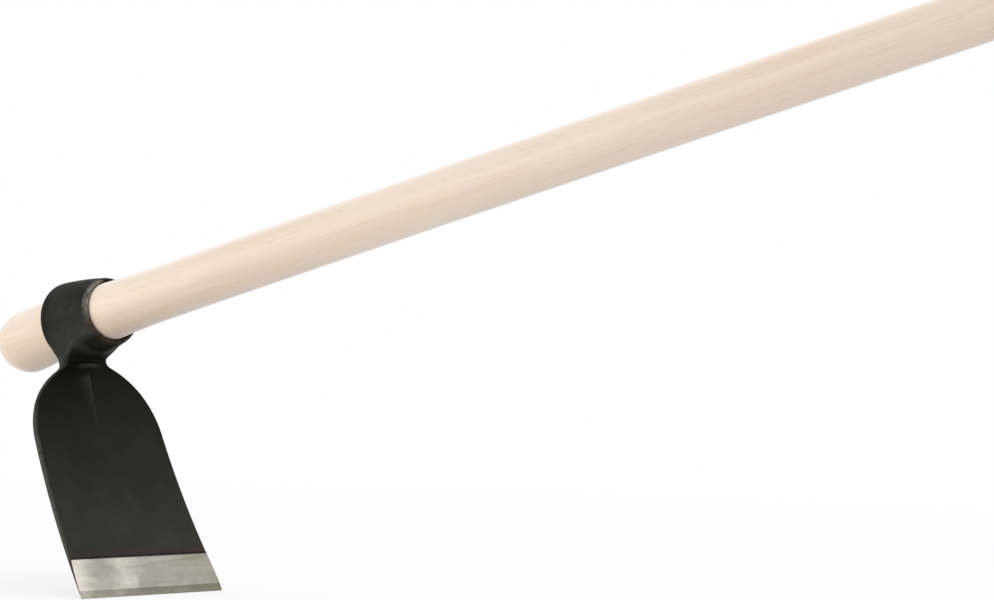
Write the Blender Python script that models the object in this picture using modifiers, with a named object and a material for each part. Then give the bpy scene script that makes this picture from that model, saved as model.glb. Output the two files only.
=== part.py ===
"""A garden hoe: a forged head with a round eye, on a tapered wooden handle.

The handle goes through the eye from the far side, thin end first, and its thick end jams there.
Knocked towards the user's end, the head slides back along the handle and comes off.

Lengths are in metres. Local tool space, before the whole tool is tilted into its working stance:
X runs across the blade, -Y runs along the handle to the user's end, Z points up, away from the blade.
The local origin is the centre of the eye's near rim, the one that faces the user.
"""

import math

import bmesh
import bpy
from mathutils import Matrix, Vector

# Handle. Stations are distances from the eye's near rim, positive towards the user's end.
HANDLE_REACH = 1.000            # near rim of the eye to the user's end
STUB_LENGTH = 0.069             # how far the thick end stands out beyond the eye's far rim
HANDLE_EYE_DIAMETER = 0.0400    # at the near rim
SHAFT_DIAMETER = 0.0372         # of the shaft's straight taper, carried up to the near rim
HANDLE_END_DIAMETER = 0.0280    # at the user's end
SWELL_LENGTH = 0.060            # the shaft swells into the eye over this length
EYE_TAPER = 0.026               # growth of the diameter per unit of length through the eye
STUB_TAPER = 0.070              # the same, on the stub beyond the eye
HANDLE_BOW = 0.0018             # rise of the handle's middle over a straight line
STUB_SAG = 0.0024               # the thick end bends down by this much
STUB_ROUNDING = 0.0175          # length of the rounded thick end
STUB_FLAT_RADIUS = 0.0120
BUTT_ROUNDING = 0.008           # length of the rounded user's end
BUTT_FLAT_RADIUS = 0.0090
HANDLE_SIDES = 36

# Eye of the head
COLLAR_LENGTH = 0.0466
COLLAR_NEAR_WALL = 0.0022       # at the near rim
COLLAR_MIDDLE_WALL = 0.0063
COLLAR_FAR_WALL = 0.0082
COLLAR_NEAR_FILLET = 0.0012
COLLAR_FAR_FILLET = 0.0030
BORE_CLEARANCE = 0.0005         # all round, between the handle and the eye
BORE_CHAMFER = 0.0006
COLLAR_SIDES = 64

# Neck. Drops are down from the wall of the bore.
NECK_HALF_WIDTH = 0.0176
NECK_DEPTH = 0.0080             # front to back, where the neck meets the blade
NECK_DROP = 0.0070              # to the top of the blade
NECK_CORNER = 0.0040            # softness of the corner between neck and shoulder
NECK_BEVEL = 0.0022
NECK_BACK_DROP = 0.0030         # where the neck's back meets the blade's back
# Front of the web under the eye, as distances in front of the blade's middle plane, and drops
WEB_FRONT = ((0.0323, -0.0005), (0.0204, 0.0014), (0.0106, 0.0028), (0.0056, 0.0052))

# Blade, measured down its curved face from its top
BLADE_LENGTH = 0.1793
BLADE_INSET = 0.0058            # far rim to the blade's middle plane, at its top
BLADE_TOP_LEAN = math.radians(7.4)
BLADE_CURVE_RADIUS = 0.540
EDGE_HALF_WIDTH = 0.0602
SIDE_FLARE = math.radians(3.1)
SHOULDER_LENGTH = 0.0557
SHOULDER_RADIUS = 0.0588
SHOULDER_THICKNESS = 0.0050
SHOULDER_THINNING = 2.5         # power of the fall from the neck's depth to that
BLADE_THICKNESS = 0.0031
THINNING_END = 0.77             # share of the blade's straight part over which it thins
GROUND_BAND = 0.0287
SECOND_BEVEL = 0.0053
SECOND_BEVEL_THICKNESS = 0.0015
EDGE_THICKNESS = 0.0005

# Forged rib on the face, from the neck downwards
RIB_LENGTH = 0.059
RIB_HEIGHT = 0.0030
RIB_HALF_WIDTH = 0.0085
RIB_TIP_HALF_WIDTH = 0.0010

# Mesh fineness
SHAFT_STEPS = 26
ROUNDING_STEPS = 7
BLADE_COLUMNS = 22
SHOULDER_ROWS = 20
FACE_ROWS = 12
NECK_ROWS = 3
COLLAR_ROWS = 12
FILLET_STEPS = 4
COLUMN_CROWDING = 1.6           # draws the columns in towards the rib
SWELL_STEPS = 4
STUB_STEPS = 3
NECK_BEVEL_STEPS = 3
FLAT_ANGLE = math.radians(1)
SHARP_ANGLE = math.radians(40)

# Stance: the cutting edge on the ground, the handle rising towards the user
HANDLE_RISE = math.radians(13.0)

LACQUER_COLOR = (0.030, 0.032, 0.028)
LACQUER_ROUGHNESS = 0.38
BEECH_COLOR = (0.78, 0.62, 0.46)
BEECH_ROUGHNESS = 0.55

TOOL_NAME = "garden_hoe"
CUTTER_MARGIN = 0.004
MERGE_DISTANCE = 0.00001


def clear_scene():
    for item in list(bpy.data.objects):
        bpy.data.objects.remove(item, do_unlink=True)


def new_collection(name):
    collection = bpy.data.collections.new(name)
    bpy.context.scene.collection.children.link(collection)
    return collection


def new_material(name, color, roughness):
    material = bpy.data.materials.new(name)
    material.use_nodes = True
    shader = material.node_tree.nodes["Principled BSDF"]
    shader.inputs["Base Color"].default_value = (*color, 1.0)
    shader.inputs["Roughness"].default_value = roughness
    return material


def add_object(name, data, collection, parent):
    item = bpy.data.objects.new(name, data)
    collection.objects.link(item)
    item.parent = parent
    return item


def mesh_from_bmesh(name, shape):
    bmesh.ops.recalc_face_normals(shape, faces=shape.faces)
    mesh = bpy.data.meshes.new(name)
    shape.to_mesh(mesh)
    shape.free()
    return mesh


def mark_as_cutter(item):
    item.hide_render = True
    item.display_type = "WIRE"


def smooth_max(first, second, softness):
    return (first + second + math.sqrt((first - second) ** 2 + softness ** 2)) / 2


# Handle


def handle_radius(station):
    """Radius of the plain handle, without its rounded ends."""
    if station < -COLLAR_LENGTH:
        far_diameter = HANDLE_EYE_DIAMETER + EYE_TAPER * COLLAR_LENGTH
        return (far_diameter + STUB_TAPER * (-COLLAR_LENGTH - station)) / 2
    if station < 0:
        return (HANDLE_EYE_DIAMETER - EYE_TAPER * station) / 2
    share = station / HANDLE_REACH
    diameter = SHAFT_DIAMETER + (HANDLE_END_DIAMETER - SHAFT_DIAMETER) * share
    swell = max(1 - station / SWELL_LENGTH, 0) ** 2
    return (diameter + (HANDLE_EYE_DIAMETER - SHAFT_DIAMETER) * swell) / 2


def handle_rise(station):
    """Height of the handle's slightly bowed centre line over the slide axis."""
    middle_of_eye = -COLLAR_LENGTH / 2
    share = (station - middle_of_eye) / (HANDLE_REACH - middle_of_eye)
    along_stub = max(-COLLAR_LENGTH - station, 0) / STUB_LENGTH
    return 4 * HANDLE_BOW * share * (1 - share) - STUB_SAG * along_stub ** 2


def rounded_end(end_station, inward, rounding, flat_radius):
    """Stations and radii of a rounded end, from its flat face to the plain handle."""
    full_radius = handle_radius(end_station + inward * rounding)
    rings = []
    for step in range(ROUNDING_STEPS):
        angle = math.pi / 2 * step / ROUNDING_STEPS
        along = rounding * (1 - math.cos(angle))
        radius = flat_radius + (full_radius - flat_radius) * math.sin(angle)
        rings.append((end_station + inward * along, radius))
    return rings


def handle_rings():
    """Every ring of the handle, from the thick end to the user's end."""
    stub_end = -COLLAR_LENGTH - STUB_LENGTH
    rings = rounded_end(stub_end, 1, STUB_ROUNDING, STUB_FLAT_RADIUS)
    first = stub_end + STUB_ROUNDING
    last = HANDLE_REACH - BUTT_ROUNDING
    stub = -COLLAR_LENGTH - first
    shaft = [first + stub * step / STUB_STEPS for step in range(STUB_STEPS + 1)]
    shaft += [SWELL_LENGTH * step / SWELL_STEPS for step in range(SWELL_STEPS)]
    shaft += [SWELL_LENGTH + (last - SWELL_LENGTH) * step / SHAFT_STEPS for step in range(SHAFT_STEPS + 1)]
    rings += [(station, handle_radius(station)) for station in shaft]
    rings += reversed(rounded_end(HANDLE_REACH, -1, BUTT_ROUNDING, BUTT_FLAT_RADIUS))
    return rings


def make_handle(collection, parent, material):
    """A curve with a radius at each point, made a closed mesh."""
    rings = handle_rings()
    curve = bpy.data.curves.new("handle_line", "CURVE")
    curve.dimensions = "3D"
    curve.bevel_mode = "ROUND"
    curve.bevel_depth = HANDLE_EYE_DIAMETER / 2
    curve.bevel_resolution = (HANDLE_SIDES - 4) // 2
    curve.use_fill_caps = True
    spline = curve.splines.new("POLY")
    spline.points.add(len(rings) - 1)
    for point, (station, radius) in zip(spline.points, rings):
        point.co = (0, -station, handle_rise(station), 1)
        point.radius = radius / curve.bevel_depth
    line = add_object("handle_line", curve, collection, parent)
    bpy.context.view_layer.update()
    depsgraph = bpy.context.evaluated_depsgraph_get()
    mesh = bpy.data.meshes.new_from_object(line.evaluated_get(depsgraph))
    bpy.data.objects.remove(line, do_unlink=True)

    shape = bmesh.new()
    shape.from_mesh(mesh)
    bmesh.ops.remove_doubles(shape, verts=shape.verts, dist=MERGE_DISTANCE)
    bpy.data.meshes.remove(mesh)
    handle = add_object("handle", mesh_from_bmesh("handle", shape), collection, parent)
    handle.data.materials.append(material)
    handle.data.shade_smooth()
    handle.data.set_sharp_from_angle(angle=SHARP_ANGLE)
    return handle


# Eye


def collar_radius(depth):
    """Outside radius of the eye at a depth behind the near rim: a curve through three sizes."""
    share = depth / COLLAR_LENGTH
    near = (bore_radius(0) + COLLAR_NEAR_WALL) * 2 * (share - 0.5) * (share - 1)
    middle = (bore_radius(COLLAR_LENGTH / 2) + COLLAR_MIDDLE_WALL) * 4 * share * (1 - share)
    far = (bore_radius(COLLAR_LENGTH) + COLLAR_FAR_WALL) * 2 * share * (share - 0.5)
    return near + middle + far


def bore_radius(depth):
    return handle_radius(-depth) + BORE_CLEARANCE


def turned_solid(name, profile, sides, collection, parent):
    """A solid turned about the handle's axis. The profile runs from the near end to the far end
    as (radius, depth) pairs, and starts and ends on the axis."""
    mesh = bpy.data.meshes.new(name)
    points = [(radius, 0, -depth) for radius, depth in profile]
    edges = [(index, index + 1) for index in range(len(points) - 1)]
    mesh.from_pydata(points, edges, [])
    solid = add_object(name, mesh, collection, parent)
    solid.rotation_euler = (math.pi / 2, 0, 0)
    screw = solid.modifiers.new("turned", "SCREW")
    screw.axis = "Z"
    screw.angle = 2 * math.pi
    screw.steps = sides
    screw.render_steps = sides
    screw.use_merge_vertices = True
    screw.merge_threshold = MERGE_DISTANCE
    return solid


def collar_profile():
    profile = [(0, 0)]
    for step in range(FILLET_STEPS + 1):
        angle = math.pi / 2 * step / FILLET_STEPS
        depth = COLLAR_NEAR_FILLET * (1 - math.cos(angle))
        radius = collar_radius(depth) - COLLAR_NEAR_FILLET * (1 - math.sin(angle))
        profile.append((radius, depth))
    first = COLLAR_NEAR_FILLET
    last = COLLAR_LENGTH - COLLAR_FAR_FILLET
    for step in range(1, COLLAR_ROWS):
        depth = first + (last - first) * step / COLLAR_ROWS
        profile.append((collar_radius(depth), depth))
    for step in range(FILLET_STEPS + 1):
        angle = math.pi / 2 * step / FILLET_STEPS
        depth = last + COLLAR_FAR_FILLET * math.sin(angle)
        radius = collar_radius(depth) - COLLAR_FAR_FILLET * (1 - math.cos(angle))
        profile.append((radius, depth))
    profile.append((0, COLLAR_LENGTH))
    return profile


def bore_profile():
    """The cutter follows the handle's taper, and flares out past both rims to chamfer them."""
    far = COLLAR_LENGTH
    flare = BORE_CHAMFER + CUTTER_MARGIN
    return [
        (0, -CUTTER_MARGIN),
        (bore_radius(0) + flare, -CUTTER_MARGIN),
        (bore_radius(BORE_CHAMFER), BORE_CHAMFER),
        (bore_radius(far - BORE_CHAMFER), far - BORE_CHAMFER),
        (bore_radius(far) + flare, far + CUTTER_MARGIN),
        (0, far + CUTTER_MARGIN),
    ]


# Neck and blade


def blade_setback():
    """Near rim to the blade's middle plane, at the blade's top."""
    return COLLAR_LENGTH - BLADE_INSET


def below_bore(drop):
    """Distance down from the handle's axis, for a drop from the wall of the bore."""
    return bore_radius(blade_setback()) + drop


def blade_lean(distance):
    """Angle between the face and the plane square to the handle, down the blade."""
    return BLADE_TOP_LEAN + distance / BLADE_CURVE_RADIUS


def blade_point(distance):
    """Point of the blade's middle surface on the centre line, as (setback, height).
    The face is an arc, and its setback shrinks as it curves back towards the user."""
    radius = BLADE_CURVE_RADIUS
    start = BLADE_TOP_LEAN
    end = blade_lean(distance)
    forward = radius * (math.cos(start) - math.cos(end))
    down = radius * (math.sin(end) - math.sin(start))
    return blade_setback() - forward, -below_bore(NECK_DROP) - down


def half_width(distance):
    """Half of the blade's width: neck, round shoulder, then a straight flaring side."""
    tangent_width = EDGE_HALF_WIDTH - math.tan(SIDE_FLARE) * (BLADE_LENGTH - SHOULDER_LENGTH)
    if distance >= SHOULDER_LENGTH:
        return tangent_width + math.tan(SIDE_FLARE) * (distance - SHOULDER_LENGTH)
    centre_distance = SHOULDER_LENGTH + SHOULDER_RADIUS * math.sin(SIDE_FLARE)
    centre_width = tangent_width - SHOULDER_RADIUS * math.cos(SIDE_FLARE)
    inside = max(SHOULDER_RADIUS ** 2 - (distance - centre_distance) ** 2, 0)
    shoulder = centre_width + math.sqrt(inside)
    fade = 1 - max(distance, 0) / SHOULDER_LENGTH
    return smooth_max(NECK_HALF_WIDTH, shoulder, NECK_CORNER * fade)


def plate_thickness(distance):
    """Plate thickness before grinding: thick at the neck, thinning fast and then slowly."""
    if distance < 0:
        return NECK_DEPTH
    if distance < SHOULDER_LENGTH:
        ease = (1 - distance / SHOULDER_LENGTH) ** SHOULDER_THINNING
        return SHOULDER_THICKNESS + (NECK_DEPTH - SHOULDER_THICKNESS) * ease
    share = (distance - SHOULDER_LENGTH) / (BLADE_LENGTH - SHOULDER_LENGTH)
    thinned = min(share / THINNING_END, 1)
    return SHOULDER_THICKNESS + (BLADE_THICKNESS - SHOULDER_THICKNESS) * thinned


def ground_away(distance):
    """Depth of steel ground off the face: a long bevel, then a short steeper one."""
    top = BLADE_LENGTH - GROUND_BAND
    turn = BLADE_LENGTH - SECOND_BEVEL
    if distance <= top:
        return 0
    if distance <= turn:
        removed = plate_thickness(turn) - SECOND_BEVEL_THICKNESS
        return removed * (distance - top) / (turn - top)
    start = plate_thickness(turn) - SECOND_BEVEL_THICKNESS
    finish = plate_thickness(BLADE_LENGTH) - EDGE_THICKNESS
    return start + (finish - start) * (distance - turn) / (BLADE_LENGTH - turn)


def rib_height(distance, across):
    """Forged rib: a ridge that narrows and dies out down the face."""
    share = max(distance, 0) / RIB_LENGTH
    if share >= 1:
        return 0
    spread = RIB_HALF_WIDTH * (1 - share) + RIB_TIP_HALF_WIDTH
    ridge = math.exp(-(across / spread) ** 2)
    return RIB_HEIGHT * (1 - share) * ridge


def blade_rows():
    """Distances of the rows of vertices, from inside the neck to the edge."""
    rows = [-NECK_DEPTH * (1 - step / NECK_ROWS) for step in range(NECK_ROWS)]
    rows += [SHOULDER_LENGTH * step / SHOULDER_ROWS for step in range(SHOULDER_ROWS)]
    band_top = BLADE_LENGTH - GROUND_BAND
    face = band_top - SHOULDER_LENGTH
    rows += [SHOULDER_LENGTH + face * step / FACE_ROWS for step in range(FACE_ROWS)]
    rows += [band_top, BLADE_LENGTH - SECOND_BEVEL, BLADE_LENGTH]
    return rows


def make_blade(collection, parent):
    """A grid drawn out into the blade's outline, then extruded into front and back faces."""
    rows = blade_rows()
    shape = bmesh.new()
    bmesh.ops.create_grid(shape, x_segments=BLADE_COLUMNS, y_segments=len(rows) - 1, size=1)
    back = bmesh.ops.extrude_face_region(shape, geom=list(shape.faces), use_keep_orig=True)
    back_vertices = {item for item in back["geom"] if isinstance(item, bmesh.types.BMVert)}

    for vertex in shape.verts:
        row = round((1 - vertex.co.y) / 2 * (len(rows) - 1))
        distance = rows[row]
        share = math.copysign(abs(vertex.co.x) ** COLUMN_CROWDING, vertex.co.x)
        across = share * half_width(distance)
        setback, height = blade_point(distance)
        lean = blade_lean(distance)
        offset = -plate_thickness(distance) / 2
        if vertex not in back_vertices:
            offset += plate_thickness(distance) - ground_away(distance)
            offset += rib_height(distance, across)
        towards_user = Vector((0, -math.cos(lean), math.sin(lean)))
        vertex.co = Vector((across, setback, height)) + towards_user * offset
    return add_object("blade", mesh_from_bmesh("blade", shape), collection, parent)


def make_neck(collection, parent):
    """The web under the eye: a side outline, extruded to the neck's width, with eased edges.
    It runs up to the handle's axis, and the bore cuts it back."""
    to_face = NECK_DEPTH / 2 * math.cos(BLADE_TOP_LEAN)
    middle = blade_setback()
    foot = below_bore(NECK_DROP + NECK_DEPTH / 4)
    web = [(middle - in_front, below_bore(drop)) for in_front, drop in WEB_FRONT]
    outline = [
        (COLLAR_LENGTH - COLLAR_FAR_FILLET, 0),
        (middle + to_face, below_bore(NECK_BACK_DROP)),
        (middle + to_face, foot),
        (middle - to_face, foot),
        *reversed(web),
        (web[0][0], 0),
    ]
    curve = bpy.data.curves.new("neck_outline", "CURVE")
    curve.dimensions = "2D"
    curve.fill_mode = "BOTH"
    curve.extrude = NECK_HALF_WIDTH
    spline = curve.splines.new("POLY")
    spline.points.add(len(outline) - 1)
    for point, (setback, drop) in zip(spline.points, outline):
        point.co = (setback, -drop, 0, 1)
    spline.use_cyclic_u = True
    flat = add_object("neck_outline", curve, collection, parent)
    bpy.context.view_layer.update()
    depsgraph = bpy.context.evaluated_depsgraph_get()
    mesh = bpy.data.meshes.new_from_object(flat.evaluated_get(depsgraph))
    bpy.data.objects.remove(flat, do_unlink=True)

    # The outline is drawn on X and Y. It is stood up so that X becomes the setback.
    mesh.transform(Matrix(((0, 0, 1, 0), (1, 0, 0, 0), (0, 1, 0, 0), (0, 0, 0, 1))))
    shape = bmesh.new()
    shape.from_mesh(mesh)
    bpy.data.meshes.remove(mesh)
    bmesh.ops.remove_doubles(shape, verts=shape.verts, dist=MERGE_DISTANCE)
    bmesh.ops.dissolve_limit(shape, angle_limit=FLAT_ANGLE, verts=shape.verts, edges=shape.edges)
    neck = add_object("neck", mesh_from_bmesh("neck", shape), collection, parent)
    bevel = neck.modifiers.new("eased_edges", "BEVEL")
    bevel.width = NECK_BEVEL
    bevel.segments = NECK_BEVEL_STEPS
    return neck


def combine(target, other, operation, name):
    step = target.modifiers.new(name, "BOOLEAN")
    step.operation = operation
    step.solver = "EXACT"
    step.object = other


def make_head(collection, cutters, parent, material):
    """The forged head: eye, neck and blade are one piece of steel."""
    head = turned_solid("hoe_head", collar_profile(), COLLAR_SIDES, collection, parent)
    neck = make_neck(cutters, parent)
    blade = make_blade(cutters, parent)
    bore = turned_solid("bore", bore_profile(), COLLAR_SIDES, cutters, parent)
    for item in (neck, blade, bore):
        mark_as_cutter(item)
    combine(head, neck, "UNION", "neck")
    combine(head, blade, "UNION", "blade")
    combine(head, bore, "DIFFERENCE", "bore")
    head.data.materials.append(material)
    return head


def world_bounds(items):
    bpy.context.view_layer.update()
    depsgraph = bpy.context.evaluated_depsgraph_get()
    corners = []
    for item in items:
        seen = item.evaluated_get(depsgraph)
        mesh = seen.to_mesh()
        corners += [seen.matrix_world @ vertex.co for vertex in mesh.vertices]
        seen.to_mesh_clear()
    low = Vector([min(corner[axis] for corner in corners) for axis in range(3)])
    high = Vector([max(corner[axis] for corner in corners) for axis in range(3)])
    return low, high


def stand_on_ground(stance, items):
    """Moves the tool so that the world origin is under its middle, on the ground."""
    low, high = world_bounds(items)
    middle = (low + high) / 2
    stance.location -= Vector((middle.x, middle.y, low.z))


def report(stance, items):
    """Prints the places that a user of the model needs."""
    low, high = world_bounds(items)
    print("size", [round(value, 5) for value in high - low])
    place = stance.matrix_world
    for name, station, outward in (("stub_end", -COLLAR_LENGTH - STUB_LENGTH, -1),
                                   ("butt_end", HANDLE_REACH, 1)):
        point = place @ Vector((0, -station, handle_rise(station)))
        rings = handle_rings()
        inner = rings[1] if outward < 0 else rings[-2]
        inner_point = place @ Vector((0, -inner[0], handle_rise(inner[0])))
        normal = (point - inner_point).normalized()
        print(name, [round(value, 6) for value in point], [round(value, 6) for value in normal])
    axis = place.to_3x3() @ Vector((0, -1, 0))
    print("slide axis", [round(value, 6) for value in axis])
    eye = place @ Vector((0, 0, 0))
    print("near rim's centre", [round(value, 6) for value in eye])


def main():
    clear_scene()
    tool = new_collection(TOOL_NAME)
    cutters = new_collection("cutters")
    stance = bpy.data.objects.new("stance", None)
    tool.objects.link(stance)
    stance.rotation_euler = (-HANDLE_RISE, 0, 0)

    lacquer = new_material("black_lacquer", LACQUER_COLOR, LACQUER_ROUGHNESS)
    beech = new_material("beech", BEECH_COLOR, BEECH_ROUGHNESS)
    handle = make_handle(tool, stance, beech)
    head = make_head(tool, cutters, stance, lacquer)
    stand_on_ground(stance, (handle, head))
    bpy.context.view_layer.update()
    report(stance, (handle, head))


main()
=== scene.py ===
# %% [markdown]
# # A garden hoe
#
# A digging hoe has two pieces. A smith forges the head from one lump of steel: a round eye, a short
# neck, and a blade that is drawn out thin and ground bright at its cutting edge. The handle is a tapered
# pole of beech, pushed through the eye from the far side until its thick end jams.
# This notebook loads the engineering model as a fixed frame and puts a finer head and a finer handle
# in its place.

import math

import bmesh
import bpy
from mathutils import Euler, Matrix, Vector, noise


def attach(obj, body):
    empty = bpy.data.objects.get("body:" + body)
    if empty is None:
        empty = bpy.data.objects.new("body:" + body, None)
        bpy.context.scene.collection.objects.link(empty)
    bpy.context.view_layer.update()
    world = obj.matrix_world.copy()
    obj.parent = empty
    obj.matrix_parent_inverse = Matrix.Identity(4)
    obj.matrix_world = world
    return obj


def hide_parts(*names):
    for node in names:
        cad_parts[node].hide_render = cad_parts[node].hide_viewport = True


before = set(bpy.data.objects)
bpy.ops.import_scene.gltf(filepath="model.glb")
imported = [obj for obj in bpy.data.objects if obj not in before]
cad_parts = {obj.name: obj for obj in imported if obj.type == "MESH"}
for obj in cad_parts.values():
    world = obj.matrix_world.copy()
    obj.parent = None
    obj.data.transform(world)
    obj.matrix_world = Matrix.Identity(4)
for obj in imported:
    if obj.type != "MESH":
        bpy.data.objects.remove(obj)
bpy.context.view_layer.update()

# %% [markdown]
# The shapes are easiest to describe in the tool's own space, as a smith would hold it: X runs across the
# blade, Y runs along the handle away from the user, and Z points up, away from the blade. The origin is
# the middle of the eye's near rim. One matrix then tilts the whole tool into its stance, with the cutting
# edge on the ground and the handle rising by 13 degrees.

# %% The stance of the tool
HANDLE_RISE = math.radians(13)
EYE_PLACE = Vector((0, 0.430289, 0.192177))
STANCE = Matrix.Translation(EYE_PLACE) @ Matrix.Rotation(-HANDLE_RISE, 4, "X")
print("the eye is", round(EYE_PLACE.z * 1000), "mm above the ground")

# %% [markdown]
# ## The camera
#
# A camera can be placed by eye, or its place can be worked out from points that are known in both the
# photograph and the model. Here it was worked out. It is a long lens that looks almost level, from the
# left of the user, so that the handle runs out of the picture at the upper right.

# %% Camera
CAMERA_PLACE = (-1.2583, -1.2495, 0.2120)
CAMERA_TURN = (89.870, -1.661, -44.125)
LENS_MM = 108.65
SENSOR_MM = 36

camera_data = bpy.data.cameras.new("camera")
camera_data.lens = LENS_MM
camera_data.sensor_width = SENSOR_MM
camera = bpy.data.objects.new("camera", camera_data)
camera.location = CAMERA_PLACE
camera.rotation_euler = [math.radians(angle) for angle in CAMERA_TURN]
bpy.context.collection.objects.link(camera)
bpy.context.scene.camera = camera
bpy.context.scene.view_settings.view_transform = "Standard"
print("lens of", LENS_MM, "mm, camera at", CAMERA_PLACE)

# %% [markdown]
# ## Node helpers
#
# Materials, the floor and the world are all node trees. They could be joined up line by line, but the
# same few lines would come back for every node, so small helpers keep them readable. A node knows the
# tree it belongs to, as its id_data, so most helpers need only the node they start from.

# %% Add nodes and join them


def add_node(tree, kind, settings=None, **sockets):
    """A new node. settings are its own properties, sockets are input values by name."""
    new = tree.nodes.new("ShaderNode" + kind)
    for key, value in (settings or {}).items():
        setattr(new, key, value)
    for key, value in sockets.items():
        new.inputs[key.replace("_", " ")].default_value = value
    return new


def join(source, target, output=0):
    """Join an output, by number or name, to an input socket."""
    source.id_data.links.new(source.outputs[output], target)


def blank_tree(owner):
    owner.use_nodes = True
    owner.node_tree.nodes.clear()
    return owner.node_tree


print("nodes can be added and joined")

# %% [markdown]
# Two kinds of node do most of the work. Map Range turns one range of values into another and stops at
# its ends, which is how nearly every soft border here is made. Math takes two values together.

# %% Ranges and sums


def remap(source, low, high, to_low=0.0, to_high=1.0, output=0):
    """Map a value's range on to another, clamped."""
    new = add_node(source.id_data, "MapRange")
    for key, value in (("From Min", low), ("From Max", high), ("To Min", to_low), ("To Max", to_high)):
        new.inputs[key].default_value = value
    join(source, new.inputs["Value"], output)
    return new


def calculate(operation, first, second):
    """A Math node on a node's value and a second value, which is a number or a node's."""
    new = add_node(first.id_data, "Math", {"operation": operation})
    join(first, new.inputs[0])
    if isinstance(second, float):
        new.inputs[1].default_value = second
    else:
        join(second, new.inputs[1])
    return new


def times(first, second):
    return calculate("MULTIPLY", first, second)


print("values can be remapped, added and multiplied")

# %% [markdown]
# ## Floor and surroundings
#
# The tool was photographed on pure white. A floor and a world that are lit up to white would light the
# tool far too strongly, so they ask what kind of ray looks at them. Only the camera and mirror-like
# reflections see white.

# %% Rays that see white


def seen_directly(tree):
    """1 for rays from the camera and rays that a gloss or a glass sends on, 0 for all other light."""
    rays = add_node(tree, "LightPath")
    sent_on = add_node(tree, "Math", {"operation": "MAXIMUM"})
    join(rays, sent_on.inputs[0], "Is Glossy Ray")
    join(rays, sent_on.inputs[1], "Is Transmission Ray")
    new = add_node(tree, "Math", {"operation": "MAXIMUM"})
    join(rays, new.inputs[0], "Is Camera Ray")
    join(sent_on, new.inputs[1])
    return new


print("camera, glossy and transmitted rays see white")

# %% [markdown]
# For the light the floor is a plain pale surface, and in the rays that see white a share of its real
# shading is left. That keeps the soft shadow of the tool, and it fades out with the distance, so that no
# horizon shows.

# %% Floor
FLOOR_SIZE = 14.0
FLOOR_DROP = 0.0003
FLOOR_COLOR = (0.86, 0.86, 0.86, 1)
WHITE = (1, 1, 1, 1)
SHADOW_SHARE, SHADOW_NEAR, SHADOW_FAR = 0.20, 0.5, 1.5

floor_shape = bmesh.new()
bmesh.ops.create_grid(floor_shape, x_segments=1, y_segments=1, size=FLOOR_SIZE)
bmesh.ops.translate(floor_shape, verts=floor_shape.verts, vec=(0, 0, -FLOOR_DROP))
floor_mesh = bpy.data.meshes.new("floor")
floor_shape.to_mesh(floor_mesh)
floor_shape.free()
floor = bpy.data.objects.new("floor", floor_mesh)
bpy.context.collection.objects.link(floor)

floor_finish = bpy.data.materials.new("pale_floor")
tree = blank_tree(floor_finish)
distance = add_node(tree, "VectorMath", {"operation": "LENGTH"})
join(add_node(tree, "TexCoord"), distance.inputs[0], "Object")
even = remap(distance, SHADOW_NEAR, SHADOW_FAR, 1 - SHADOW_SHARE, 1.0, output="Value")
share = times(seen_directly(tree), even)
matt = add_node(tree, "BsdfDiffuse", Color=FLOOR_COLOR)
white = add_node(tree, "Emission", Color=WHITE, Strength=1.0)
blend = add_node(tree, "MixShader")
join(share, blend.inputs[0])
join(matt, blend.inputs[1])
join(white, blend.inputs[2])
join(blend, add_node(tree, "OutputMaterial").inputs["Surface"])
floor.data.materials.append(floor_finish)
print("floor", FLOOR_SIZE * 2, "m wide")

# %% [markdown]
# The world is the studio around the tool. Matt surfaces get a dimmer, even light from it.

# %% World
WORLD_LEVEL = 0.55

world = bpy.data.worlds.new("studio")
bpy.context.scene.world = world
tree = blank_tree(world)
level = remap(seen_directly(tree), 0, 1, WORLD_LEVEL, 1.0)
glow = add_node(tree, "Background", Color=WHITE)
join(level, glow.inputs["Strength"])
join(glow, add_node(tree, "OutputWorld").inputs["Surface"])
print("world at", WORLD_LEVEL)

# %% [markdown]
# ## Lamps
#
# The photograph has soft light from above, so the top of the handle is nearly white and the underside
# of the eye is dark. Area lamps give such light: the larger the lamp, the softer the edge of the shade.
# Three more at the left, low above the floor, stand for the bright room there, which the sides of the
# eye and of the handle catch. Each lamp has a name, a place, the point that it faces, its width in
# metres and its power in watts.

# %% Lamps
LAMPS = (("overhead", (0.1, -1.0, 1.9), (0, -0.2, 0.2), 1.4, 16),
         ("right_panel", (1.10, -0.10, 1.95), (0, 0.4, 0.1), 1.5, 12),
         ("left_panel", (-1.32, 1.98, 0.45), (0, 0.4, 0.2), 0.85, 8),
         ("side_panel", (-2.0, 0.9, 0.60), (0, 0.3, 0.2), 1.0, 12.5),
         ("low_panel", (-1.5, 1.2, 0.26), (0, 0.45, 0.2), 0.5, 5.6))

for name, place, aim, width, power in LAMPS:
    data = bpy.data.lights.new(name, "AREA")
    data.size = width
    data.energy = power
    lamp = bpy.data.objects.new(name, data)
    lamp.location = place
    lamp.rotation_euler = (Vector(aim) - Vector(place)).to_track_quat("-Z", "Y").to_euler()
    bpy.context.collection.objects.link(lamp)
print("lamps of", sum(power for *_, power in LAMPS), "W together")

# %% [markdown]
# ## The eye of the head
#
# A smith punches the lump of steel, drives a round tapered pin through the hole and forges the wall
# around it, thin at the near rim and thick at the far rim. In Blender such a ring is one closed outline,
# spun about the handle's axis. The bore has the handle's own taper plus half a millimetre all round.

# %% Sizes of the handle's seat
COLLAR_LENGTH = 0.0466
HANDLE_EYE_DIAMETER = 0.0400
EYE_TAPER = 0.026
BORE_CLEARANCE = 0.0005


def bore_radius(depth):
    """Radius of the eye's bore at a depth behind the near rim."""
    return (HANDLE_EYE_DIAMETER + EYE_TAPER * depth) / 2 + BORE_CLEARANCE


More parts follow.
